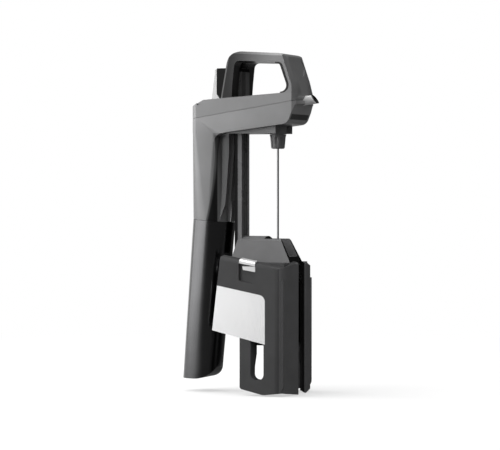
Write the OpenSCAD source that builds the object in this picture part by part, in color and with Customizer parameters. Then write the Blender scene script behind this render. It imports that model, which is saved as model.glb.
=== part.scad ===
// Hand-held needle dispenser that clamps on the neck of a wine bottle.
// Frame: X across, -Y to the front (spout side), +Z up, origin on the needle axis, half-way up the neck pads.
// The modules count Z from the bottle mouth, and up() lifts each piece into the frame.
// Side profiles are written as [F, Z] pairs, where F is the distance towards the front (F = -Y).

/* [Needle] */
// outer radius of the needle (mm)
needle_r = 0.735; // [0.5:0.05:1]
// needle length below the hub (mm)
needle_len = 80; // [60:1:80]
// hub radius at the top (mm)
hub_r = 6; // [5:0.1:6.2]
// height of the hub top above the bottle mouth (mm)
hub_top = 93; // [90:0.5:93]

/* [Head] */
// half width of head and handle (mm)
head_hw = 20; // [18:0.5:20]
// wall of the moulded shells (mm)
wall = 2.2; // [1.8:0.1:2.6]
// half width of the gap in the handle for the stop block (mm)
gap_hw = 8.2; // [8:0.1:9]

/* [Rail] */
// half width of the rail (mm)
rail_hw = 7.5; // [6:0.1:7.5]
// front face of the rail (mm behind the needle axis)
rail_front = 25.5; // [25:0.1:26]
// rear face of the rail (mm behind the needle axis)
rail_rear = 31.1; // [30:0.1:31.1]
// sliding gap between rail and glides (mm)
slide_gap = 0.05; // [0.03:0.01:0.1]

/* [Cup] */
// outer radius of the cup at its rim (mm)
cup_r = 15.5; // [15:0.05:15.6]
// outer radius of the cup near its end (mm)
cup_end_r = 14.3; // [14:0.05:14.4]
// outer length of the cup along its axis (mm)
cup_len = 116.5; // [115:0.5:117]
// lean of the cup axis (degrees)
cup_lean = 4.7; // [4:0.1:5]
// radius of the gas capsule (mm)
capsule_r = 11; // [10:0.1:11]

/* [Clamp] */
// outer half width over the arms (mm)
arm_out = 30; // [29:0.5:31]
// half gap between the two arms at the front (mm)
arm_gap = 5.7; // [5:0.1:6]
// wall of the arms (mm)
arm_wall = 3; // [2.6:0.1:3]
// radius of the bottle neck held by the pads (mm)
neck_r = 14; // [14:0.1:14.2]
// distance of the hinge pins from the middle (mm)
pin_x = 20; // [20:0.1:20.2]
// height of the hinge pins (mm)
pin_z = -6.5; // [-6.5:0.1:-6.4]
// hinge pin radius (mm)
pin_r = 1.25; // [1:0.05:1.4]

/* [Hidden] */
$fn = 64;

dark = [0.16, 0.16, 0.17];
grey = [0.42, 0.42, 0.43];
bright = [0.85, 0.85, 0.86];
rubber = [0.1, 0.1, 0.1];

// seam between cover and body, and underside of the head, as heights at F
function seam_z(f) = 105 + (f + 57) * 0.1552;
function under_z(f) = 94 + (f + 38) * 0.125;

// corner rounding of a polygon given as [x, y, r] triples
function corner(a, b, c, r, s) =
    r <= 0 ? [[b[0], b[1]]] :
    let (u = [a[0] - b[0], a[1] - b[1]], v = [c[0] - b[0], c[1] - b[1]],
        un = u / norm(u), vn = v / norm(v),
        half = acos(max(-1, min(1, un * vn))) / 2,
        t = r / tan(half), m = (un + vn) / norm(un + vn),
        o = [b[0], b[1]] + m * r / sin(half),
        p = [b[0], b[1]] + un * t, q = [b[0], b[1]] + vn * t,
        a0 = atan2(p[1] - o[1], p[0] - o[0]),
        a1 = atan2(q[1] - o[1], q[0] - o[0]),
        d = a1 - a0 > 180 ? a1 - a0 - 360 : a1 - a0 < -180 ? a1 - a0 + 360 : a1 - a0,
        n = max(2, ceil(abs(d) / s)))
    [for (i = [0:n]) [o[0] + r * cos(a0 + d * i / n), o[1] + r * sin(a0 + d * i / n)]];
function rounded(p, s = 15) = [for (i = [0:len(p) - 1]) each corner(
    p[(i + len(p) - 1) % len(p)], p[i], p[(i + 1) % len(p)], len(p[i]) > 2 ? p[i][2] : 0, s)];

// a profile of [F, Z] pairs, drawn across the width from x0 to x1
module side(pts, x0, x1) {
    translate([x0, 0, 0]) rotate([90, 0, 90]) linear_extrude(x1 - x0)
        polygon([for (p = pts) [-p[0], p[1]]]);
}

// a profile of [X, F] pairs, drawn from z0 to z1
module plan(pts, z0, z1) {
    translate([0, 0, z0]) linear_extrude(z1 - z0) polygon([for (p = pts) [p[0], -p[1]]]);
}

// a profile of [X, Z] pairs, drawn from F = f0 (rear) to F = f1 (front)
module face(pts, f0, f1) {
    translate([0, -f0, 0]) rotate([90, 0, 0]) linear_extrude(f1 - f0) polygon(pts);
}

module box(x0, x1, f0, f1, z0, z1) {
    translate([x0, -f1, z0]) cube([x1 - x0, f1 - f0, z1 - z0]);
}

// from heights above the bottle mouth to the frame
neck_mid = 37;
module up() {
    translate([0, 0, neck_mid]) children();
}

// frame whose +Z runs up the cup axis, origin at the rim plane of the cup
rim_f = -50.35;
rim_z = 30;
module cup_frame() {
    translate([0, -rim_f, rim_z]) rotate([cup_lean, 0, 0]) children();
}

// cross cylinder along X at F, Z
module xcyl(f, z, r, x0, x1) {
    translate([x0, -f, z]) rotate([0, 90, 0]) cylinder(r = r, h = x1 - x0);
}

// cylinder along the front-back direction from F = f0 to F = f1
module ycyl(x, z, r, f0, f1) {
    translate([x, -f0, z]) rotate([90, 0, 0]) cylinder(r = r, h = f1 - f0);
}

// Fixed part: guide block, rail and clamp yoke.

block_top = 15.7;
crown_top = 19;
floor_z = 4.2;
seat_h = 1.5;
rail_foot = seat_h;

screw_z = [5.5, 11];
module block_outer() {
    intersection() {
        side([[-27, block_top + 3.4], [4.8, block_top + 3.4], [14.2, 0], [-32.6, 0]], -14, 14);
        face([[-12.6, 0], [-9.4, block_top + 3.6], [9.4, block_top + 3.6], [12.6, 0]], -40, 20);
        // crown of the top face
        ycyl(0, crown_top - 16.8, 16.8, -40, 20, $fn = 96);
    }
}

module rail_envelope(c) {
    box(-rail_hw - c, rail_hw + c, -rail_rear - c, -rail_front + c, rail_foot, 200);
}

module guide_block() {
    color(grey) up() difference() {
        block_outer();
        face([[-8.6, floor_z], [-7.7, crown_top + 1], [7.7, crown_top + 1], [8.6, floor_z]], -7.6, 20);
        rail_envelope(0);
        translate([0, 0, -1]) cylinder(r = 11.5, h = 1 + seat_h);
        cylinder(r = 3, h = 20);
        box(-8, 8, -24, -12, -1, 14.4);
        for (z = screw_z) ycyl(0, z, 1.2, -26, -23);
    }
}

module clamp_yoke() {
    color(dark) up() difference() {
        union() {
            difference() {
                box(-24, 24, -31, 14, -3, 0);
                translate([0, 0, -4]) cylinder(r = 16.4, h = 5);
            }
            for (s = [-1, 1]) {
                box(s > 0 ? 17 : -23.5, s > 0 ? 23.5 : -17, 9.6, 14, -10, -3);
                box(s > 0 ? 17 : -23.5, s > 0 ? 23.5 : -17, -31, -26, -10, -3);
            }
        }
        for (s = [-1, 1]) ycyl(s * pin_x, pin_z, pin_r, -40, 20);
    }
}

module mouth_seat() {
    color(rubber) up() difference() {
        cylinder(r = 11.5, h = seat_h);
        translate([0, 0, -1]) cylinder(r = 3, h = 4);
    }
}

module guide_bush() {
    color(bright) up() difference() {
        cylinder(r = 3, h = floor_z);
        translate([0, 0, -1]) cylinder(r = 0.9, h = 6);
        translate([0, 0, floor_z - 1.2]) cylinder(r1 = 0.9, r2 = 2, h = 1.21);
    }
}

module rail() {
    color(dark) up() difference() {
        box(-rail_hw, rail_hw, -rail_rear, -rail_front, rail_foot, 139);
        box(-4, 4, -rail_front - 1.2, -rail_front + 1, block_top, 119);
        box(-0.9, 0.9, -rail_front - 2.2, -rail_front - 1, block_top, 119);
        for (z = screw_z) ycyl(0, z, 1.2, -32, -24);
    }
}

module rail_screws() {
    color(bright) up() for (z = screw_z) {
        ycyl(0, z, 1.2, -29, -24);
        difference() {
            ycyl(0, z, 2.4, -24, -22.6);
            ycyl(0, z, 1, -23.2, -22.5, $fn = 6);
        }
    }
}

module stop_block() {
    color(dark) up() difference() {
        side(rounded([[-45.4, 141.8, 0.8], [-37.2, 141.8], [-36.2, 144.8], [-34.4, 147.5, 0.6],
            [-30.4, 147.5, 0.6],
            [-32, 141.8], [-25.5, 141.8, 1], [-25.5, 119.2], [-42.7, 119.2], [-45.4, 123]]), -rail_hw, rail_hw);
        box(-rail_hw - 1, rail_hw + 1, -rail_rear, -rail_front + 1, 119, 139);
    }
}

module stop_trim() {
    color(bright) up() side([[-45.4, 123], [-45.4, 141], [-46.8, 141], [-49.5, 119.4],
        [-42.7 - 2.7 * 0.2 / 3.8, 119.4]],
        -rail_hw + 0.6, rail_hw - 0.6);
}

module hinge_pins() {
    color(bright) up() for (s = [-1, 1]) ycyl(s * pin_x, pin_z, pin_r, -30.6, 13.8);
}

spring_f = -21.4;
module arm_springs() {
    color(bright) up() for (s = [-1, 1], i = [0:3])
        translate([s * pin_x, -spring_f + i * 1.1, pin_z]) rotate([90, 0, 0])
            rotate_extrude() translate([1.9, 0]) circle(r = 0.5, $fn = 24);
}

// Clamp arms, drawn for the +X side.

arm_front = 15;
arm_lip = 19.3;

module arm_plan(z0, z1) {
    plan(rounded([[arm_out, -45], [arm_out, arm_front, 7], [arm_gap, arm_lip, 2], [arm_gap, -45]]), z0, z1);
}

// the top falls to the front and to the outside
arm_fall = 10.24;
module arm_face_mask() {
    rotate([arm_fall, 0, 0]) face(rounded([[arm_gap, -150], [arm_out, -150], [arm_out, -1.2, 3.5],
        [10.6, 2.9], [arm_gap, 3.6]]), -70, 60);
}

module arm_body() {
    difference() {
        union() {
            intersection() {
                side(rounded([[-33, 5.6, 2.5], [-20, 6.2], [5, 3.6], [11, 1.8], [arm_lip + 0.1, 0.2, 5],
                    [arm_lip + 0.1, -96],
                    [arm_front, -93.4, 5], [0, -95, 10], [-18, -90.8, 2], [-18, -54], [-39.5, -49, 1]]), 0, 40);
                arm_plan(-120, 20);
                arm_face_mask();
                difference() {
                    box(0, 40, -60, 40, -120, 20);
                    plan([[arm_out - arm_wall, -60], [arm_out - arm_wall, arm_front - 4.5],
                        [20, arm_front - 0.4], [-1, arm_front + 0.4], [-1, -60]], -140, -3.5);
                }
            }
            intersection() {
                side(rounded([[15.5, -12], [15.5, -92.4, 5], [0, -94.8, 10], [-18, -90.8, 2],
                    [-18, -12]]), 17.5, 29);
                face([[17.5, -12], [29, -12], [29, -100], [22, -100], [21, -75], [17.5, -66]], -40, 40);
            }
            ycyl(pin_x, pin_z, 3, -18, 9.3);
            box(pin_x - 2.6, pin_x + 2.6, -17.9, 9.3, -12.5, pin_z);
        }
        // room for the yoke and its ears
        box(-1, 25, -60, 14.6, -3.5, 20);
        box(16, 24.4, 9.3, 14.6, -12, 0);
        box(16, 24.4, -40, -18, -12, 0);
        // pin bore
        ycyl(pin_x, pin_z, pin_r + 0.05, -30, 14);
        // finger slot in the leg
        side(rounded([[-9.5, -50], [0.6, -50], [0.6, -84.3, 4.2], [-9.5, -84.3, 4.2]]), 10, 40);
        // badge pocket, clip pocket and finger scoop
        side(badge_outline(), arm_out - 0.8, 40);
        clip_solid();
        side(rounded([[-18.8, 2], [-5.9, 0], [-5.9, -15.2, 2.5], [-18.8, -12.9, 1.5]]), arm_out - 1.8, 40);
    }
}

function badge_outline() = rounded([[-41, -15.5], [1.6, -23.7, 5], [1.6, -58.5], [-41, -48.7]], 9);

module arm_badge() {
    intersection() {
        side(badge_outline(), arm_out - 0.8, arm_out);
        side([[-33, 5.6], [2.5, 5.6], [2.5, -70], [-39.5, -70], [-39.5, -49]], 0, 40);
    }
}

// bent bright plate over the top edge of the arm, with a tab down into the scoop
module clip_solid() {
    intersection() {
        union() {
            // top leaf, sunk into the sloping top of the arm
            rotate([arm_fall, 0, 0]) face([[25.4, -1.4], [25.4, 0.35], [29.2, -0.5], [arm_out + 0.1, -1.6],
                [arm_out + 0.1, -3.4], [29.3, -3.4], [28.4, -1.9]], -30, 10);
            // tab
            face([[28.3, -2.5], [arm_out - 0.3, -2.5], [arm_out - 0.3, -12], [28.3, -12]], -30, 10);
        }
        union() {
            side([[-17.6, 6], [-4.6, 6], [-6.7, -1.6], [-6.9, -3.2], [-18.3, -1], [-18.3, 1]], 0, 40);
            side([[-16.6, 0], [-6, 0], [-6, -6.5], [-15.4, -5]], 28.3, 31);
        }
    }
}

// rubber pad that grips the bottle neck
module arm_pad() {
    difference() {
        side(rounded([[-12, -14, 1.5], [11, -14, 1.5], [11, -60, 1.5], [-12, -60, 1.5]]), 3, 17.5);
        translate([0, 0, -90]) cylinder(r = neck_r + 0.05, h = 90);
    }
}

module left_arm() { color(dark) up() mirror([1, 0, 0]) arm_body(); }
module left_pad() { color(rubber) up() mirror([1, 0, 0]) arm_pad(); }
module left_clip() { color(bright) up() mirror([1, 0, 0]) clip_solid(); }
module left_badge() { color(bright) up() mirror([1, 0, 0]) arm_badge(); }
module right_arm() { color(dark) up() arm_body(); }
module right_pad() { color(rubber) up() arm_pad(); }
module right_clip() { color(bright) up() clip_solid(); }
module right_badge() { color(bright) up() arm_badge(); }

// Sliding head.

// plan of the head; w takes material off all round
function head_plan(w) = rounded([[-head_hw + w, -60.4 + w, 3.8 - w], [head_hw - w, -60.4 + w, 3.8 - w],
    [head_hw - w, 18.2 - w], [head_hw - 2.2 - w / 2, 20.8 - w], [10, 22.2 - w], [-10, 22.2 - w],
    [-head_hw + 2.2 + w / 2, 20.8 - w], [-head_hw + w, 18.2 - w]]);

module rail_gap() {
    box(-gap_hw, gap_hw, -rail_rear - 0.7, -rail_front + 0.7, 60, 200);
}

// moulded grip: a loft from the head to the round rim of the cup
module grip_outer() {
    hull() {
        plan(rounded([[-20, -60.3, 4], [20, -60.3, 4], [20, -42.4, 0.6], [12.5, -40.4, 2], [-12.5, -40.4, 2],
            [-20, -42.4, 0.6]], 6), 93, 94.2);
        cup_frame() translate([0, 0, 0.2]) cylinder(r = cup_r, h = 0.6, $fn = 96);
    }
    // fillet under the head
    intersection() {
        difference() {
            box(-20, 20, -44, -35.9, 87.6, 94.2);
            xcyl(-35.9, 87.6, 6.4, -30, 30, $fn = 96);
        }
        face([[-20, 94.3], [-19.55, 87.5], [19.55, 87.5], [20, 94.3]], -50, -30);
    }
    // narrow front of the grip that carries the trigger
    side(rounded([[-33.6, 94.2], [-33.6, 80], [-35.8, 49], [-36.6, 42], [-40.6, 31], [-46, 31], [-46, 94.2]]),
        -12.5, 12.5);
}

module head_block() {
    intersection() {
        side(rounded([[-62, 94], [-62, seam_z(-62)], [30, seam_z(30)], [20.2, 113.9], [14.8, under_z(14.8), 6],
            [-34.8, under_z(-34.8)], [-34.8, 94]]), -30, 30);
        plan(head_plan(0), 80, 140);
    }
}

module body_shell() {
    color(grey) up() difference() {
        union() {
            head_block();
            grip_outer();
            // spigot that carries the cup
            cup_frame() translate([0, 0, -5]) cylinder(r = 11.9, h = 8);
        }
        // hollow of the head
        intersection() {
            side([[-57, 97], [-57, 130], [18, 130], [16.6, 112], [13, under_z(13) + wall],
                [-33, under_z(-33) + wall], [-43, 97]], -30, 30);
            plan(head_plan(wall), 80, 140);
        }
        rail_gap();
        // trigger channel in the front of the grip
        side([[-30, 93.9], [-38.4, 93.9], [-40.4, 46], [-43.2, 44], [-43.8, 25], [-30, 25]], -6.4, 6.4);
        side([[-30, 93.9], [-35.2, 93.9], [-37.4, 25], [-30, 25]], -8.6, 8.6);
        // slot through the head floor for the trigger
        box(-6.4, 6.4, -41.5, -31, 90, 99);
        // bores for regulator and gas passage
        cup_frame() translate([0, 0, -6]) cylinder(r = 7, h = 42);
        box(-6, 6, -56, -46, 60, 99);
        seal_room();
        // slot across the nose
        box(-17, 17, 17.4, 24, 104.1, 106.3);
        // needle socket and spout
        translate([0, 0, 90]) cylinder(r = 6.3, h = 20);
        spout_rod(3.5, -20);
        xcyl(-36.5, 100, 1, -12, 12);
        for (x = [-13, 13]) {
            translate([x, 50, 90]) cylinder(r = 1.2, h = 30);
            translate([x, 50, 90]) cylinder(r = 2.5, h = 7);
        }
    }
    color(grey) up() for (x = [-13, 13]) difference() {
        translate([x, 50, 97]) cylinder(r = 3.2, h = 6.4);
        translate([x, 50, 96]) cylinder(r = 1.2, h = 9);
    }
}

// outline of the cover, of the handle, then the window in it
function cover_outline() = rounded([[-62, seam_z(-62)], [-62, 112.5], [-57, 115.4], [-51.5, 118.4, 2],
    [-36.9, 119.3], [21, 122.6, 4], [20.6, seam_z(20.6)]]);
function handle_outline() = rounded([[-38.4, 112], [-37.5, 119.3], [-31.4, 153.8, 12], [12.5, 151.1, 7.5],
    [19.35, 131], [21.94, 120.6], [20.6, seam_z(20.6) + 0.4]], 9);
function window_outline() = rounded([[-28.4, 120, 0.8], [-27.6, 131, 10], [-26, 146.4, 4], [10.5, 144.9, 4],
    [18.2, 123.2, 5.5]], 9);

// the handle with bevels along its front, top and rear edges
knee_f = 19.35;
knee_z = 131;
front_low = 14;
front_high = 18.7;
handle_top = 3.5;
handle_rear = 10.23;
front_bevel = [[-20, 90], [20, 90], [20, 1.9], [16, 0.4], [7, 0], [-7, 0], [-16, 0.4], [-20, 1.9]];
rear_bevel = [[-20, -90], [20, -90], [20, -1.7], [18.4, 0], [-18.4, 0], [-20, -1.7]];
module front_frame(a) {
    translate([0, -knee_f, knee_z]) rotate([-a, 0, 0]) children();
}
module handle_solid() {
    intersection() {
        side(handle_outline(), -30, 30);
        front_frame(front_low) translate([0, 0, -40]) linear_extrude(90) polygon(front_bevel);
        front_frame(front_high) translate([0, 0, -40]) linear_extrude(90) polygon(front_bevel);
        translate([0, 31.4, 153.8]) rotate([handle_top, 0, 0])
            face([[-20, -80], [-20, -1.8], [-18, 0], [18, 0], [20, -1.8], [20, -80]], -30, 70);
        translate([0, 37.5, 119.3]) rotate([handle_rear, 0, 0]) translate([0, 0, -30])
            linear_extrude(90) polygon(rear_bevel);
        plan(head_plan(0), 80, 170);
    }
}

// shallow thumb recess in the upper front of the handle
recess_depth = 0.7;
module thumb_recess() {
    front_frame(front_high) translate([0, recess_depth, 14]) rotate([90, 0, 0]) linear_extrude(10)
        polygon([for (a = [0:9:351]) [13.5 * cos(a), 10.5 * sin(a)]]);
}

// groove along the seam
module seam_groove() {
    difference() {
        side([[-70, seam_z(-70) - 1], [40, seam_z(40) - 1], [40, seam_z(40) + 0.35], [-70, seam_z(-70) + 0.35]],
            -30, 30);
        plan(head_plan(0.7), 80, 140);
    }
}

// room for the seal behind the spout's wall
module seal_room() {
    spout_at(-17.2) cylinder(r = 4.65, h = 2);
}

module head_cover() {
    color(grey) up() difference() {
        union() {
            intersection() {
                side(cover_outline(), -30, 30);
                plan(head_plan(0), 80, 170);
            }
            handle_solid();
        }
        side(window_outline(), -30, 30);
        seam_groove();
        // leaf-shaped pockets at the rear upper edges
        for (x = [-21, 18.5]) side([[-55.6, 114.6], [-52.2, 114.7], [-49.8, 116], [-47.4, 117.8], [-48, 121],
            [-58, 121]], x, x + 2.5);
        // hollow under the cover
        intersection() {
            side([[-57, 90], [-57, 112], [-50.5, 116], [-34, 117], [12, 119.9], [16.5, 118],
                [17.5, 90]], -30, 30);
            plan(head_plan(wall), 80, 140);
        }
        // gap for rail, stop block and trim
        box(-gap_hw, gap_hw, -51, -24.6, 117.9, 170);
        rail_gap();
        spout_rod(3.5, -20);
        seal_room();
        thumb_recess();
    }
    color(grey) up() for (x = [-13, 13]) difference() {
        translate([x, 50, 106.4]) cylinder(r = 3.2, h = 10.4);
        translate([x, 50, 90]) cylinder(r = 1.2, h = 22.4);
    }
}

// dark lining of the window, where the fingers pull
module finger_pad() {
    color(rubber) up() side(rounded([[5.5, 145.105], [10.5, 144.9, 4], [18.2, 123.2, 5.5], [9.3, 122.589],
        [9.3, 123.44], [15.92, 123.89, 4.6], [8.79, 144.05, 3.2], [5.5, 144.24]], 9), -19.9, 19.9);
}

module chin_block() {
    color(grey) up() difference() {
        side([[-33, 93.7], [4.7, 93.7], [4.7, under_z(4.7)], [-33, under_z(-33)]], -17, 17);
        rail_gap();
        box(-11.5, 11.5, -8, 10, 90, 110);
        box(-9, 9, -36, -30, 90, 110);
    }
}

module rail_glides() {
    color(bright) up() difference() {
        union() {
            box(-10.4, 10.4, -34, -23, 99.4, 103.4);
            box(-10.4, 10.4, -34, -23, 111, 114.8);
        }
        rail_envelope(slide_gap);
        box(-5.9, 5.9, -40, -32, 90, 110);
    }
}

module cover_screws() {
    color(bright) up() for (x = [-13, 13]) {
        translate([x, 50, 97]) cylinder(r = 1.2, h = 15);
        difference() {
            translate([x, 50, 95.2]) cylinder(r = 2.4, h = 1.8);
            translate([x, 50, 95]) cylinder(r = 1, h = 1, $fn = 6);
        }
    }
}

// spout frame: axis rises to the front
spout_f = 29.3;
spout_z = 118.5;
spout_rise = 8;
spout_r = 3.4;
spout_bore = 2.9;
module spout_at(t) {
    translate([0, -spout_f, spout_z]) rotate([90 - spout_rise, 0, 0]) translate([0, 0, t]) children();
}

module spout_rod(r, back) {
    spout_at(back) cylinder(r = r, h = 10 - back);
}

// everything beyond the slanted mouth, its lower lip to the front
module mouth_cut(back) {
    translate([0, -spout_f, spout_z]) rotate([90 - 37, 0, 0]) translate([-10, -20, -back]) cube([20, 40, 30]);
}

module spout() {
    color(bright) up() difference() {
        spout_rod(spout_r, -17);
        spout_rod(spout_bore, -17.5);
        mouth_cut(0);
    }
}

module spout_seal() {
    color(rubber) up() spout_at(-17.1) difference() {
        cylinder(r = 4.6, h = 1.8);
        translate([0, 0, 0.1]) cylinder(r = spout_r, h = 4);
        translate([0, 0, -1]) cylinder(r = spout_bore, h = 4);
    }
}

// dark lining of the spout, up to its mouth
module wine_tube() {
    color(rubber) up() difference() {
        spout_rod(spout_bore, -22.6);
        spout_rod(1.9, -30);
        mouth_cut(0.5);
    }
}

module valve_block() {
    color(dark) up() difference() {
        box(-8, 8, -8, 8, 104, 117);
        translate([0, 0, 100]) cylinder(r = 2, h = 12);
        spout_rod(spout_bore, -26);
        ycyl(0, 108, 1.5, -9, 0);
    }
}

module needle_socket() {
    color(dark) up() difference() {
        translate([0, 0, 93.2]) cylinder(r = 6.3, h = 10.8);
        translate([0, 0, 93]) cylinder(r = 3.6, h = 7);
        translate([0, 0, 93]) cylinder(r = 2, h = 12);
    }
}

module gas_tube() {
    color(rubber) up() {
        box(-9.8, -8, -44.6, -2, 106, 107.8);
        box(-8, -5, -44.6, -42.8, 106, 107.8);
        box(-6.8, -5, -46.6, -44.6, 106, 107.8);
    }
}

module regulator() {
    color(bright) up() difference() {
        union() {
            cup_frame() translate([0, 0, -7]) cylinder(r = 5.6, h = 10);
            cup_frame() translate([0, 0, 2]) cylinder(r = 6.8, h = 31);
            box(-5, 5, -55, -46.6, 62, 110);
        }
        cup_frame() translate([0, 0, -8]) cylinder(r = 1, h = 8);
        cup_frame() translate([0, 0, -7.2]) cylinder(r = 4.2, h = 1.2);
    }
}

module piercing_pin() {
    color(bright) up() cup_frame() {
        translate([0, 0, -7]) cylinder(r = 1, h = 7);
        translate([0, 0, -8.1]) cylinder(r1 = 0.2, r2 = 1, h = 1.1);
    }
}

module regulator_seal() {
    color(rubber) up() cup_frame() translate([0, 0, -7]) difference() {
        cylinder(r = 4.2, h = 1);
        translate([0, 0, -1]) cylinder(r = 1, h = 3);
    }
}

// Trigger: hinged in the head, its foot at the bottom of the grip.

trig_f = -36.5;
trig_z = 100;

module trigger() {
    color(dark) up() difference() {
        union() {
            side(rounded([[-38.4, 102, 1.5], [-34.6, 102, 1.5], [-32.4, 96], [-32.4, 82], [-34.2, 60],
                [-35.3, 45], [-34.3, 40.8, 1], [-35.1, 29.4], [-39.3, 29.4, 1], [-37.5, 43],
                [-35.4, 82], [-35.6, 96]]), -5, 5);
            xcyl(trig_f, trig_z, 2, -5.6, 5.6);
        }
        xcyl(trig_f, trig_z, 1.05, -6, 6);
    }
}

module trigger_pin() { color(bright) up() xcyl(trig_f, trig_z, 1, -11, 11); }

module trigger_spring() {
    color(bright) up() for (i = [0:2]) translate([6.3 + i * 1.1, -trig_f, trig_z]) rotate([0, 90, 0])
        rotate_extrude() translate([1.6, 0]) circle(r = 0.5, $fn = 24);
}

// Needle, screwed into the socket.

module needle_hub() {
    color(dark) up() difference() {
        union() {
            translate([0, 0, hub_top - 1.2]) cylinder(r = hub_r, h = 1.2);
            translate([0, 0, hub_top - 10.4]) rotate_extrude()
                polygon(rounded([[0, 0], [4.9, 0, 1.2], [hub_r - 0.25, 9.3], [0, 9.3]]));
            translate([0, 0, hub_top]) cylinder(r = 3.4, h = 6);
        }
        for (a = [0:45:315]) rotate([0, 0, a + 10])
            translate([6.9, 0, hub_top - 12]) cylinder(r = 2.1, h = 9.8);
        translate([0, 0, 70]) cylinder(r = needle_r, h = 40);
    }
}

module needle_tube() {
    color(bright) up() difference() {
        translate([0, 0, hub_top - 10.4 - needle_len]) cylinder(r = needle_r, h = needle_len + 16);
        translate([0, 0, 0]) cylinder(r = 0.45, h = 120);
        translate([0, 0, hub_top - 10.4 - needle_len]) rotate([0, 20, 0])
            translate([-5, -5, -10]) cube([10, 10, 10]);
    }
}

// Cup with the gas capsule.

cup_floor = 102.4;
capsule_low = -cup_floor + 1.4;
module capsule_cup() {
    color(dark) up() cup_frame() intersection() {
        difference() {
            translate([0, 0, -cup_len - 2]) cylinder(r1 = cup_end_r, r2 = cup_r, h = cup_len + 2, $fn = 96);
            translate([0, 0, -cup_floor]) cylinder(r = 12.2, h = cup_len);
        }
        // level end, well rounded at the front
        side(rounded([[-20, 1], [20, 1], [cup_end_r + 0.3, -80], [cup_end_r + 0.1, -cup_len + 1.2, 16],
            [-cup_end_r - 0.1, -cup_len - 1.2, 1.5], [-cup_end_r - 0.3, -80]], 6), -20, 20);
    }
}

module cup_cushion() {
    color(rubber) up() cup_frame() translate([0, 0, -cup_floor]) cylinder(r = 11, h = 1.4);
}

module gas_capsule() {
    // thin steel wall, hollow inside
    color(bright) up() cup_frame() rotate_extrude() difference() {
        polygon(rounded([[0, capsule_low], [capsule_r, capsule_low, 7], [capsule_r, -27, 5], [4.4, -18, 2],
            [4.4, -8.4], [0, -8.4]]));
        polygon(rounded([[0, capsule_low + 1.4], [capsule_r - 1.2, capsule_low + 1.4, 6],
            [capsule_r - 1.2, -27.4, 4], [2.8, -19.2, 1], [2.8, -10], [0, -10]]));
    }
}

guide_block();
clamp_yoke();
mouth_seat();
guide_bush();
rail();
rail_screws();
stop_block();
stop_trim();
hinge_pins();
arm_springs();
left_arm();
left_pad();
left_clip();
left_badge();
right_arm();
right_pad();
right_clip();
right_badge();
body_shell();
head_cover();
finger_pad();
chin_block();
rail_glides();
cover_screws();
spout();
spout_seal();
wine_tube();
valve_block();
needle_socket();
gas_tube();
regulator();
piercing_pin();
regulator_seal();
trigger_pin();
trigger_spring();
trigger();
needle_hub();
needle_tube();
capsule_cup();
cup_cushion();
gas_capsule();
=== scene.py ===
import math

import bpy
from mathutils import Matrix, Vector


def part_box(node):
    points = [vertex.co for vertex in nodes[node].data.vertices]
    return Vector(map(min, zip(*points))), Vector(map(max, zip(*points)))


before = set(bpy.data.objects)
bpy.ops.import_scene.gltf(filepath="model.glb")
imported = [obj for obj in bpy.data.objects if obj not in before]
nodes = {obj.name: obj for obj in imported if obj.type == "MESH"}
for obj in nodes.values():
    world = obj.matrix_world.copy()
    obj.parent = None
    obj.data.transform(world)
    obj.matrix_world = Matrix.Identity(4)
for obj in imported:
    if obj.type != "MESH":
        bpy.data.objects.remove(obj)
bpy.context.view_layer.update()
scene = bpy.context.scene

MM = 0.001                                # metres
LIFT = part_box("mouth_seat")[0].z / MM     # millimetres from the frame's origin up to the bottle mouth


# shader nodes

def feed(tree, socket, value):
    """Links a socket to another one, or sets it to a number, vector or colour."""
    if isinstance(value, bpy.types.NodeSocket):
        tree.links.new(value, socket)
    else:
        socket.default_value = value


def maths(tree, operation, *values):
    """The result of an operation on one or two numbers."""
    node = tree.nodes.new("ShaderNodeMath")
    node.operation = operation
    for socket, value in zip(node.inputs, values):
        feed(tree, socket, value)
    return node.outputs[0]


def vector_maths(tree, operation, *values):
    """The outputs of an operation on one or two vectors."""
    node = tree.nodes.new("ShaderNodeVectorMath")
    node.operation = operation
    for socket, value in zip(node.inputs, values):
        feed(tree, socket, value)
    return node.outputs


def ramp(tree, value, start, end, low=0.0, high=1.0, smooth=True):
    """A change from low to high as a value goes from start to end."""
    node = tree.nodes.new("ShaderNodeMapRange")
    node.interpolation_type = "SMOOTHSTEP" if smooth else "LINEAR"
    tree.links.new(value, node.inputs["Value"])
    for key, limit in (("From Min", start), ("From Max", end), ("To Min", low), ("To Max", high)):
        node.inputs[key].default_value = limit
    return node.outputs["Result"]


def mixed(tree, share, one, two, blend="MIX"):
    """Two colours mixed or multiplied; the share is that of the second."""
    node = tree.nodes.new("ShaderNodeMix")
    node.data_type = "RGBA"
    node.blend_type = blend
    for key, value in (("Factor", share), ("A", one), ("B", two)):
        feed(tree, node.inputs[key], value)
    return node.outputs["Result"]


def towards(tree, direction, aim, start, end, low=0.0, high=1.0):
    """A smooth change from low to high as a direction turns towards the aim."""
    unit = vector_maths(tree, "NORMALIZE", direction)["Vector"]
    return ramp(tree, vector_maths(tree, "DOT_PRODUCT", unit, aim)["Value"], start, end, low, high)


# materials

IOR = 1.46                # of every finish
NOISE_BAND = (0.3, 0.7)   # nearly all of a noise lies between these
FINISHES = {}             # by name


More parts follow.
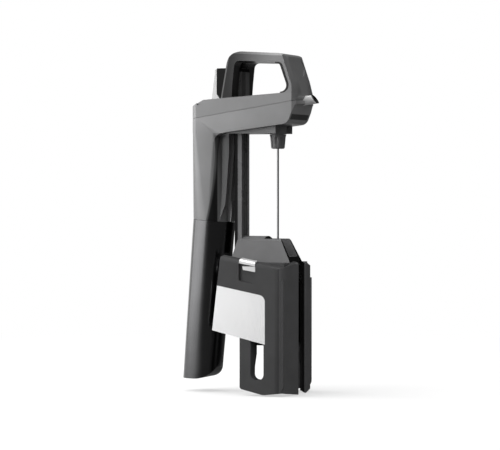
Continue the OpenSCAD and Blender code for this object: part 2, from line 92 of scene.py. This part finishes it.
class Finish:
    """A material on the Principled shader, varied by noise, with light and shade painted on by place or
    direction.
    """

    def __init__(self, name, colour, rough, metal=0.0, spec=0.5):
        self.mat = bpy.data.materials.new(name)
        self.mat.use_nodes = True
        self.tree = self.mat.node_tree
        self.shader = self.tree.nodes["Principled BSDF"].inputs
        coords = self.tree.nodes.new("ShaderNodeTexCoord").outputs
        self.place, self.facing = coords["Object"], coords["Normal"]
        self.colour, self.rough = colour, rough
        for key, value in (("Base Color", (*colour, 1)), ("Roughness", rough), ("Metallic", metal),
                           ("Specular IOR Level", spec), ("IOR", IOR)):
            self.shader[key].default_value = value
        FINISHES[name] = self

    def noise(self, scale, detail=3.0, stretch=(1, 1, 1)):
        mapping = self.tree.nodes.new("ShaderNodeMapping")
        mapping.inputs["Scale"].default_value = stretch
        self.tree.links.new(self.place, mapping.inputs["Vector"])
        texture = self.tree.nodes.new("ShaderNodeTexNoise")
        texture.inputs["Scale"].default_value = scale
        texture.inputs["Detail"].default_value = detail
        self.tree.links.new(mapping.outputs["Vector"], texture.inputs["Vector"])
        return texture.outputs["Fac"]

    def vary_colour(self, noise, by):
        dark = (*[c * (1 - by) for c in self.colour], 1)
        pale = (*[min(1, c * (1 + by)) for c in self.colour], 1)
        share = ramp(self.tree, noise, *NOISE_BAND, smooth=False)
        self.tree.links.new(mixed(self.tree, share, dark, pale), self.shader["Base Color"])

    def vary_rough(self, noise, by):
        rough = ramp(self.tree, noise, *NOISE_BAND, self.rough - by, self.rough + by, smooth=False)
        self.tree.links.new(rough, self.shader["Roughness"])

    def bump(self, noise, strength, depth):
        """Fine relief of a depth in millimetres."""
        node = self.tree.nodes.new("ShaderNodeBump")
        node.inputs["Strength"].default_value = strength
        node.inputs["Distance"].default_value = depth * MM
        self.tree.links.new(noise, node.inputs["Height"])
        self.tree.links.new(node.outputs["Normal"], self.shader["Normal"])

    def math(self, operation, *values):
        return maths(self.tree, operation, *values)

    def step(self, value, start, end, low=0.0, high=1.0):
        return ramp(self.tree, value, start, end, low, high)

    def axis(self, vector, letter):
        split = self.tree.nodes.new("ShaderNodeSeparateXYZ")
        self.tree.links.new(vector, split.inputs[0])
        return split.outputs[letter]

    def front(self):
        """Distance to the front, in millimetres."""
        return self.math("MULTIPLY", self.axis(self.place, "Y"), -1 / MM)

    def height(self):
        """Height above the bottle mouth, in millimetres."""
        return self.math("SUBTRACT", self.math("MULTIPLY", self.axis(self.place, "Z"), 1 / MM), LIFT)

    def across(self):
        """Distance from the middle to the side of positive X, in millimetres."""
        return self.math("MULTIPLY", self.axis(self.place, "X"), 1 / MM)

    def blend(self, share, there, elsewhere=1.0):
        """One tone where the share is 1 and another where it is 0."""
        rest = self.math("MULTIPLY", self.math("SUBTRACT", 1.0, share), elsewhere)
        return self.math("ADD", self.math("MULTIPLY", share, there), rest)

    def shade(self, tone):
        """Multiplies the base colour, which vary_colour has linked, by a tone of painted light or shade.
        """
        colour = self.shader["Base Color"].links[0].from_socket
        self.tree.links.new(mixed(self.tree, 1.0, colour, tone, "MULTIPLY"), self.shader["Base Color"])


def moulded(name, colour, rough, bump=0.25, spec=0.5):
    """Moulded plastic or rubber with a fine grain."""
    m = Finish(name, colour, rough, spec=spec)
    m.vary_colour(m.noise(scale=60, detail=4), by=0.08)
    m.vary_rough(m.noise(scale=140), by=0.03)
    m.bump(m.noise(scale=2500, detail=2), bump, depth=0.05)


def gloss(name, colour, rough, vary=0.06, spec=0.5, metal=0.0):
    """A smooth painted, plated or polished surface."""
    m = Finish(name, colour, rough, metal, spec)
    m.vary_colour(m.noise(scale=40), by=vary)
    m.vary_rough(m.noise(scale=90, detail=4), by=0.02)
    m.bump(m.noise(scale=220, detail=2), strength=0.05, depth=0.03)


def metal(name, colour, rough, brush=(1, 1, 1), bump=0.1, share=1.0):
    """Metal, brushed where its noise is stretched; the share is that of the metallic look."""
    m = Finish(name, colour, rough, share)
    m.vary_colour(m.noise(scale=50), by=0.03)
    m.vary_rough(m.noise(scale=900, stretch=brush), by=0.04)
    m.bump(m.noise(scale=1400, detail=2, stretch=brush), bump, depth=0.02)


PLATE_BRUSH = (1, 1, 18)   # level lines on an upright plate
ROUND_BRUSH = (1, 1, 12)   # coarser ones on turned pieces

gloss("head_grey", (0.25, 0.25, 0.252), 0.3, metal=0.3, spec=0.25)
gloss("grip_grey", (0.235, 0.235, 0.237), 0.3, metal=0.3, spec=0.3)
gloss("cup_dark", (0.095, 0.095, 0.097), 0.2, metal=1.0)
gloss("rail_black", (0.17, 0.17, 0.172), 0.28, metal=0.3, spec=0.08)
gloss("trigger_black", (0.3, 0.3, 0.302), 0.25, metal=0.3)
moulded("chin_grey", (0.19, 0.19, 0.192), 0.4)
moulded("block_grey", (0.175, 0.175, 0.177), 0.4, spec=0.15)
moulded("stop_black", (0.012, 0.012, 0.012), 0.5, spec=0.1)
moulded("charcoal", (0.052, 0.052, 0.053), 0.55, spec=0.35)
moulded("hub_grey", (0.15, 0.15, 0.152), 0.3)
moulded("rubber", (0.02, 0.02, 0.02), 0.75, bump=0.5)
moulded("nylon", (0.75, 0.75, 0.72), 0.45)
gloss("chrome", (0.95, 0.95, 0.95), 0.12, vary=0.02, metal=0.45)
gloss("spout_bright", (0.98, 0.98, 0.98), 0.25, vary=0.01)
metal("badge", (0.89, 0.89, 0.893), 0.28, PLATE_BRUSH, share=0.5)
metal("trim_plate", (0.5, 0.5, 0.5), 0.3, PLATE_BRUSH, bump=0.04, share=0.6)
metal("steel", (0.62, 0.62, 0.63), 0.25, ROUND_BRUSH, share=0.8)
metal("needle_steel", (0.25, 0.25, 0.255), 0.3, ROUND_BRUSH)
metal("brass", (0.75, 0.56, 0.26), 0.3)


# painted light and shade, by place or by direction

# A tone of painted light or shade multiplies the colour. Places are millimetres to the front of the
# needle, above the bottle mouth or to the side. Four numbers are a start, an end and the tones or shares
# at these two.
SOFT = 0.3                                 # half the width of a soft edge between two tones

FRONT_FACES = (-0.35, -0.6)                # Y of a face's direction, as it turns to the front
REAR_FACES = (0.3, 0.7)                    # and to the rear
# painted light and shade on faces that look to the front: above 1 lightens them, below 1 darkens them
FRONT_PAINTED_LIGHT_AND_SHADE = {"head_grey": 1.2, "grip_grey": 1.6, "block_grey": 0.05, "chin_grey": 0.6, "charcoal": 2.6}
# painted shade on faces that look to the rear
REAR_PAINTED_SHADE = {"head_grey": 0.7, "grip_grey": 0.7, "cup_dark": 0.7}

HANDLE_FOOT = 121.5                        # height at which the handle starts, over the needle
HANDLE_SLOPE = 0.057                       # rise of that line to the front
HANDLE_PAINTED_SHADE = (-34.0, 10.0, 0.1, 0.95)     # painted shade, nearly black at the rear, almost as the head at the front

RAIL_PAINTED_SHADE = (-28.9, -28.3, 0.06, 1.0)   # painted shade darkens the rear half of the rail
RAIL_FACE = (-25.6, -25.4)                 # its front face lies midway between these
RAIL_MIDDLE = (-0.5, 0.5)                  # one half of that face, from its middle on, has a painted highlight
RAIL_PAINTED_HIGHLIGHT = 3.2                            # full tone of the painted highlight; the face itself takes half of the change

GRIP_TOP = (91.5, 93.5, 1.0, 0.0)          # under the head, up to which the painted shade of the grip reaches
GRIP_BEND = 89.0                           # its wide part is straight down to here, then curves back
GRIP_EDGE = -42.2                          # the front edge of the straight stretch
GRIP_CURVE = 0.0025                        # how much the edge curves back with the square of the drop
GRIP_RIM_SHADE = (-0.4, 0.6, 1.0, 0.4)           # past that edge, painted shade darkens the step to the narrow part
GRIP_STEP_SHADE = (0.6, 2.2, 1.0, 0.12)          # and darker still with more painted shade
NARROW_EDGE = -40.4                        # the narrow part, which carries the trigger, starts here
NARROW_LEAN = 0.032                        # and leans back by this for each millimetre of drop
NARROW_SOFT = 0.1                          # half the width of the change between the two
# painted shade on the narrow part
NARROW_PAINTED_SHADE = 0.42

SLOT_HEIGHTS = (103.5, 107.4)              # painted shade in place of a slot across the nose lies between these
SLOT_FRONT = (14.5, 14.8)                  # in front of this
SLOT_SIDES = (17.2, 17.6, 1.0, 0.0)        # and this near to the middle
# painted shade in the slot
SLOT_PAINTED_SHADE = 0.12

SPOUT_MOUTH = (29.3, 118.5)                # front and height of a point in the slanted mouth
SPOUT_TILT = math.radians(37)              # the mouth looks to the front, and up by this
SPOUT_PAINTED_SHADE = (-0.8, -0.65, 1.0, 0.01)      # painted shade darkens the tube from this far behind the mouth on

ARM_GAP_PAINTED_SHADE = (6.0, 6.5, 0.08, 1.0)            # the gap between the arms reaches this far from the middle; painted shade darkens it


def paint_light_and_shade_by_facing(m, directions, tone):
    """Paints light or shade on faces that look to the front or to the rear."""
    turned = m.step(m.axis(m.facing, "Y"), *directions)
    m.shade(m.step(turned, 0.0, 1.0, 1.0, tone))


def paint_handle_shade(m):
    """Painted shade: the straps and the top bar of the handle are darker than the head."""
    foot = m.math("ADD", m.math("MULTIPLY", m.front(), HANDLE_SLOPE), HANDLE_FOOT)
    above = m.step(m.math("SUBTRACT", m.height(), foot), -SOFT, SOFT)
    m.shade(m.blend(above, m.step(m.front(), *HANDLE_PAINTED_SHADE)))


def paint_rail_shade_and_highlight(m):
    """Painted shade darkens the rear of the rail, and a painted highlight runs down its front as a
    lighter line.
    """
    m.shade(m.step(m.front(), *RAIL_PAINTED_SHADE))
    line = m.math("MULTIPLY", m.step(m.front(), *RAIL_FACE), m.step(m.across(), *RAIL_MIDDLE))
    m.shade(m.blend(line, RAIL_PAINTED_HIGHLIGHT))


def paint_grip_shade(m):
    """Painted shade: the grip is dark in the step between its wide part and the narrow one that carries
    the trigger, and the narrow one is darker too.
    """
    drop = m.math("SUBTRACT", GRIP_BEND, m.height())
    curve = m.math("MULTIPLY", m.math("POWER", m.math("MAXIMUM", drop, 0.0), 2.0), GRIP_CURVE)
    past = m.math("ADD", m.math("SUBTRACT", m.front(), GRIP_EDGE), curve)
    step = m.math("MULTIPLY", m.step(past, *GRIP_RIM_SHADE), m.step(past, *GRIP_STEP_SHADE))
    lean = m.math("MULTIPLY", drop, NARROW_LEAN)
    ahead = m.math("ADD", m.math("SUBTRACT", m.front(), NARROW_EDGE), lean)
    narrow = m.step(ahead, -NARROW_SOFT, NARROW_SOFT)
    m.shade(m.blend(m.step(m.height(), *GRIP_TOP), m.blend(narrow, NARROW_PAINTED_SHADE, step)))


def paint_slot_shade(m):
    """Painted shade stands for a dark slot across the nose of the body."""
    bottom, top = SLOT_HEIGHTS
    rise = m.step(m.height(), bottom - SOFT, bottom + SOFT)
    fall = m.step(m.height(), top - SOFT, top + SOFT, 1.0, 0.0)
    slot = m.math("MULTIPLY", m.math("MULTIPLY", rise, fall), m.step(m.front(), *SLOT_FRONT))
    inside = m.step(m.math("ABSOLUTE", m.across()), *SLOT_SIDES)
    m.shade(m.blend(m.math("MULTIPLY", slot, inside), SLOT_PAINTED_SHADE))


def paint_spout_shade(m):
    """Painted shade darkens the slanted mouth of the spout up to its rim."""
    front, height = SPOUT_MOUTH
    ahead = m.math("MULTIPLY", m.math("SUBTRACT", m.front(), front), math.cos(SPOUT_TILT))
    above = m.math("MULTIPLY", m.math("SUBTRACT", m.height(), height), math.sin(SPOUT_TILT))
    m.shade(m.step(m.math("ADD", ahead, above), *SPOUT_PAINTED_SHADE))


def paint_gap_shade(m):
    """Painted shade: what has this finish is nearly black in the gap between the two arms."""
    m.shade(m.step(m.math("ABSOLUTE", m.across()), *ARM_GAP_PAINTED_SHADE))


for finish, tone in FRONT_PAINTED_LIGHT_AND_SHADE.items():
    paint_light_and_shade_by_facing(FINISHES[finish], FRONT_FACES, tone)
for finish, tone in REAR_PAINTED_SHADE.items():
    paint_light_and_shade_by_facing(FINISHES[finish], REAR_FACES, tone)
paint_handle_shade(FINISHES["head_grey"])
paint_grip_shade(FINISHES["grip_grey"])
paint_slot_shade(FINISHES["grip_grey"])
paint_rail_shade_and_highlight(FINISHES["rail_black"])
paint_spout_shade(FINISHES["spout_bright"])
paint_gap_shade(FINISHES["charcoal"])


# the finish and the rounded edges of each piece

PIECE_FINISH = {
    "guide_block": "block_grey", "clamp_yoke": "charcoal", "mouth_seat": "rubber", "guide_bush": "steel",
    "rail": "rail_black", "rail_screws": "steel", "stop_block": "stop_black", "stop_trim": "trim_plate",
    "hinge_pins": "steel", "arm_springs": "steel",
    "left_arm": "charcoal", "left_pad": "rubber", "left_clip": "chrome", "left_badge": "badge",
    "right_arm": "charcoal", "right_pad": "rubber", "right_clip": "chrome", "right_badge": "badge",
    "body_shell": "grip_grey", "head_cover": "head_grey", "finger_pad": "rubber",
    "chin_block": "chin_grey", "rail_glides": "nylon", "cover_screws": "steel",
    "spout": "spout_bright", "spout_seal": "rubber", "wine_tube": "rubber", "valve_block": "charcoal",
    "needle_socket": "hub_grey", "gas_tube": "rubber", "regulator": "brass", "piercing_pin": "steel",
    "regulator_seal": "rubber", "trigger_pin": "steel", "trigger_spring": "steel",
    "trigger": "trigger_black", "needle_hub": "hub_grey", "needle_tube": "needle_steel",
    "capsule_cup": "cup_dark", "cup_cushion": "rubber", "gas_capsule": "steel",
}
ROUND_EDGES = {
    "body_shell": 0.8, "head_cover": 0.8, "left_arm": 1.4, "right_arm": 1.4, "guide_block": 0.5,
    "chin_block": 0.4, "stop_block": 0.5, "trigger": 0.5, "capsule_cup": 0.5, "clamp_yoke": 0.4,
}                         # millimetres
ROUND_STEPS = 3           # segments of a rounded edge
SHARP_ANGLE = 32          # degrees between two faces, above which their edge is sharp
FLAT_ANGLE = 3.9          # the same between big faces
GRIP_ANGLE = 12           # and on the grip, a loft of long faces that blend into each other
YOKE_ANGLE = 60           # the yoke is rounded at edges above this, the inner corners too
MERGE_ANGLE = 0.5         # faces that bend less than this become one
BIG_FACE = 150e-6         # square metres, as the mean of the two faces
WELD_GAP = 0.01 * MM


def edge_group(flat_angle):
    """Geometry nodes: smooth faces, sharp where two faces meet at more than the sharp angle or, if they
    are big, the flat one, and a bevel weight on the outer sharp edges, never in an inner corner."""
    group = bpy.data.node_groups.new("edges_by_angle", "GeometryNodeTree")
    for way in ("INPUT", "OUTPUT"):
        group.interface.new_socket("Geometry", in_out=way, socket_type="NodeSocketGeometry")
    new, link = group.nodes.new, group.links.new
    start, end = new("NodeGroupInput"), new("NodeGroupOutput")
    faces, edges = new("GeometryNodeSetShadeSmooth"), new("GeometryNodeSetShadeSmooth")
    faces.domain, edges.domain = "FACE", "EDGE"
    edges.inputs["Shade Smooth"].default_value = False
    angles = new("GeometryNodeInputMeshEdgeAngle").outputs

    def test(value, operation, limit):
        node = new("FunctionNodeCompare")
        node.operation = operation
        node.inputs["B"].default_value = limit
        link(value, node.inputs["A"])
        return node.outputs["Result"]

    def both(operation, one, two):
        node = new("FunctionNodeBooleanMath")
        node.operation = operation
        link(one, node.inputs[0])
        link(two, node.inputs[1])
        return node.outputs[0]

    sharp = test(angles["Unsigned Angle"], "GREATER_THAN", math.radians(SHARP_ANGLE))
    bent = test(angles["Unsigned Angle"], "GREATER_THAN", math.radians(flat_angle))
    big = test(new("GeometryNodeInputMeshFaceArea").outputs[0], "GREATER_THAN", BIG_FACE)
    outer = test(angles["Signed Angle"], "LESS_THAN", -math.radians(SHARP_ANGLE))
    weight = new("GeometryNodeStoreNamedAttribute")
    weight.data_type, weight.domain = "FLOAT", "EDGE"
    weight.inputs["Name"].default_value = "bevel_weight_edge"
    link(start.outputs[0], faces.inputs["Geometry"])
    link(faces.outputs[0], edges.inputs["Geometry"])
    link(both("OR", sharp, both("AND", bent, big)), edges.inputs["Selection"])
    link(outer, weight.inputs["Value"])
    link(edges.outputs[0], weight.inputs["Geometry"])
    link(weight.outputs[0], end.inputs[0])
    return group


def round_edges(obj, width, by_angle):
    """A bevel on the weighted edges, or on all edges above the yoke's angle."""
    bevel = obj.modifiers.new("bevel", "BEVEL")
    bevel.width = width * MM
    bevel.segments = ROUND_STEPS
    bevel.limit_method = "ANGLE" if by_angle else "WEIGHT"
    bevel.angle_limit = math.radians(YOKE_ANGLE)
    bevel.use_clamp_overlap = not by_angle
    bevel.harden_normals = True


def soften(obj, edges, width, by_angle):
    """Even shading and small rounded edges on a piece, by modifiers only."""
    weld = obj.modifiers.new("weld", "WELD")
    weld.merge_threshold = WELD_GAP
    if width:
        flat = obj.modifiers.new("flat", "DECIMATE")
        flat.decimate_type = "DISSOLVE"
        flat.angle_limit = math.radians(MERGE_ANGLE)
    even = obj.modifiers.new("edges", "NODES")
    even.node_group = edges
    if width:
        round_edges(obj, width, by_angle)


def dress_pieces():
    usual, grip = edge_group(FLAT_ANGLE), edge_group(GRIP_ANGLE)
    for name, obj in nodes.items():
        obj.data.materials.clear()
        obj.data.materials.append(FINISHES[PIECE_FINISH[name]].mat)
        edges = grip if name == "body_shell" else usual
        soften(obj, edges, ROUND_EDGES.get(name, 0), by_angle=name == "clamp_yoke")


# stage, light and camera, in metres

AMBIENT = (-0.7, 0.9, 0.3, 0.7)                        # cosines to the light, brightness at these two
LIGHT_FROM = Vector((-0.55, 0.6, 0.58)).normalized()
BACKDROP = Vector((0.0, 1.0, 0.0))                     # the way to the white backdrop
BACKDROP_EDGE = (0.1, 0.85)                            # cosines to that way, between which it sets in
FRONT_MIRROR = 0.08                                    # share of the ambient light in mirrored rays
WHITE = (1, 1, 1, 1)


def white_share(tree, backdrop):
    """1 for a ray from the lens; for a mirrored or bent ray, 1 where it meets the backdrop."""
    path = tree.nodes.new("ShaderNodeLightPath").outputs
    mirrored = maths(tree, "MAXIMUM", path["Is Glossy Ray"], path["Is Transmission Ray"])
    return maths(tree, "MAXIMUM", path["Is Camera Ray"], maths(tree, "MULTIPLY", mirrored, backdrop))


def make_world():
    """Studio surroundings: light behind on the left, darker in front on the right, white to the lens."""
    world = bpy.data.worlds.new("studio")
    scene.world = world
    world.use_nodes = True
    tree = world.node_tree
    direction = tree.nodes.new("ShaderNodeTexCoord").outputs["Generated"]
    ambient = towards(tree, direction, LIGHT_FROM, *AMBIENT)
    backdrop = towards(tree, direction, BACKDROP, *BACKDROP_EDGE)
    mirrored = tree.nodes.new("ShaderNodeLightPath").outputs["Is Glossy Ray"]
    dimmed = maths(tree, "SUBTRACT", 1.0, maths(tree, "MULTIPLY", mirrored, 1.0 - FRONT_MIRROR))
    colour = mixed(tree, white_share(tree, backdrop), maths(tree, "MULTIPLY", ambient, dimmed), WHITE)
    tree.links.new(colour, tree.nodes["Background"].inputs["Color"])


FLOOR_SIZE = 14
FLOOR_DROP = 0.2 * MM    # the floor lies this far below the object
FLOOR_ROUGH = 0.95
FLOOR_UNDER = 0.09       # mirrored rays see no white floor inside this distance, and all of it at twice
FLOOR_NEAR = 0.25        # the shadow is kept inside this distance
FLOOR_FAR = 0.7          # beyond this the floor is plain white to the lens
FLOOR_LIFT = 0.5         # share of plain white near the object
FLOOR_SEEN = 0.93        # grey of the floor to the lens
FLOOR_BACK = 0.1         # grey of the floor to all other rays


def floor_paper():
    """Pale paper that keeps the object's shadow near it and fades to plain white away from it."""
    mat = bpy.data.materials.new("floor_paper")
    mat.use_nodes = True
    tree = mat.node_tree
    paper = tree.nodes["Principled BSDF"]
    paper.inputs["Roughness"].default_value = FLOOR_ROUGH
    paper.inputs["Specular IOR Level"].default_value = 0.0
    place = tree.nodes.new("ShaderNodeTexCoord").outputs["Object"]
    distance = vector_maths(tree, "LENGTH", place)["Value"]
    away = ramp(tree, distance, FLOOR_UNDER, 2 * FLOOR_UNDER, smooth=False)
    behind = towards(tree, place, BACKDROP, *BACKDROP_EDGE)
    seen = white_share(tree, maths(tree, "MULTIPLY", behind, away))
    grey = ramp(tree, seen, 0.0, 1.0, FLOOR_BACK, FLOOR_SEEN, smooth=False)
    tree.links.new(grey, paper.inputs["Base Color"])
    fade = ramp(tree, distance, FLOOR_NEAR, FLOOR_FAR, FLOOR_LIFT, 1.0)
    mix = tree.nodes.new("ShaderNodeMixShader")
    tree.links.new(maths(tree, "MULTIPLY", fade, seen), mix.inputs[0])
    tree.links.new(paper.outputs[0], mix.inputs[1])
    tree.links.new(tree.nodes.new("ShaderNodeEmission").outputs[0], mix.inputs[2])
    tree.links.new(mix.outputs[0], tree.nodes["Material Output"].inputs["Surface"])
    return mat


def make_floor():
    low = min(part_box(name)[0].z for name in nodes) - FLOOR_DROP
    bpy.ops.mesh.primitive_plane_add(size=FLOOR_SIZE, location=(0, 0, low))
    floor = bpy.context.object
    floor.name = "floor"
    floor.data.materials.append(floor_paper())


LIGHT_AIM = Vector((0, 0, 0.06))   # the place that both lights look at
LIGHTS = {                         # place, size, and power in watts
    "soft_left": ((-0.53, 1.08, 0.45), (2.16, 1.7), 29),
    "soft_top": ((0.0, 0.2, 1.5), (1.2, 1.2), 10),
}


def make_lights():
    for name, (place, size, power) in LIGHTS.items():
        data = bpy.data.lights.new(name, "AREA")
        data.shape = "RECTANGLE"
        data.size, data.size_y = size
        data.energy = power
        light = bpy.data.objects.new(name, data)
        scene.collection.objects.link(light)
        light.location = place
        light.rotation_euler = (LIGHT_AIM - Vector(place)).to_track_quat("-Z", "Y").to_euler()


VIEW_AZ = math.radians(-67.9)            # round from the front to the side of negative X
LENS_PX = 2315.0                         # focal length in pixels of the photo
PHOTO_WIDTH = 500.0                      # pixels
HORIZON = 39.0                           # pixels from the photo's middle up to the horizon
PITCH = math.atan(HORIZON / LENS_PX)     # the camera looks down by this
DIST = 1.690                             # from the needle
EYE_Z = 0.0925                           # from the frame's origin up to the lens
SIDE_SHIFT = -0.0204                     # the lens is this far to the right of the needle
SENSOR = 36.0                            # millimetres
CLIP = (0.05, 20)                        # nearest and farthest that the camera sees


def make_camera():
    data = bpy.data.cameras.new("camera")
    data.sensor_width = SENSOR
    data.lens = LENS_PX / PHOTO_WIDTH * SENSOR
    data.clip_start, data.clip_end = CLIP
    camera = bpy.data.objects.new("camera", data)
    scene.collection.objects.link(camera)
    look = Vector((-math.sin(VIEW_AZ), math.cos(VIEW_AZ), 0))
    right = Vector((look.y, -look.x, 0))
    camera.location = -look * DIST + right * SIDE_SHIFT + Vector((0, 0, EYE_Z))
    aim = look * math.cos(PITCH) - Vector((0, 0, math.sin(PITCH)))
    camera.rotation_euler = aim.to_track_quat("-Z", "Y").to_euler()
    scene.camera = camera


dress_pieces()
make_world()
make_floor()
make_lights()
make_camera()
scene.view_settings.view_transform = "Standard"
